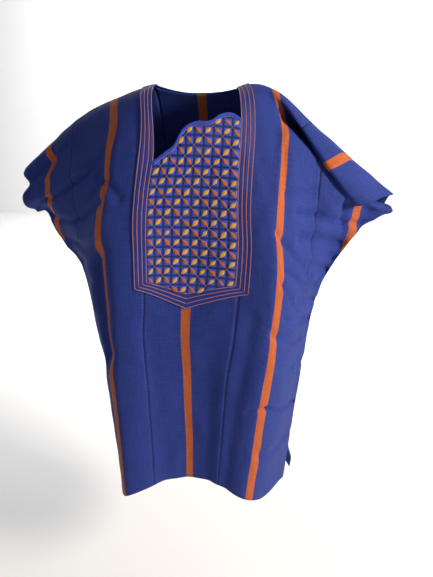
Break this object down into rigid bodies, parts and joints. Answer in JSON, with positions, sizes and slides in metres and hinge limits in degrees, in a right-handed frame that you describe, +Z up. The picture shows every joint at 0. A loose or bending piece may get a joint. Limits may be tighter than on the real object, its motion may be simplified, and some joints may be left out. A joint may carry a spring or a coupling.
{
  "type": "strip-woven boubou tunic",
  "caption": "Short wide-sleeved tunic of hand-woven striped strips, in its worn, hollow form, with an embroidered bib and neck band.",
  "frame": {"origin": "base of the neck, midway between the shoulders, where the wearer holds the tunic up", "axes": "+Z up, the front of the tunic faces -Y, +X towards the wearer's left hand"},
  "size_m": [0.7345, 0.3204, 0.8372],
  "materials": {
    "strip_cloth": "hand-woven cotton, indigo blue with narrow orange warp stripes, slight sheen",
    "bib_satin": "royal blue satin ground, closely embroidered",
    "edging_satin": "royal blue satin-stitched edge",
    "embroidery_thread": "corded rows of embroidery thread"
  },
  "bodies": {
    "root": {"centre_strip_front": "strip_cloth", "centre_strip_back": "strip_cloth", "inner_strip_right": "strip_cloth", "inner_strip_left": "strip_cloth", "outer_strip_right": "strip_cloth", "outer_strip_left": "strip_cloth", "bib_panel": "bib_satin", "bib_edging": "edging_satin", "neck_band": "embroidery_thread"}
  },
  "joints": []
}
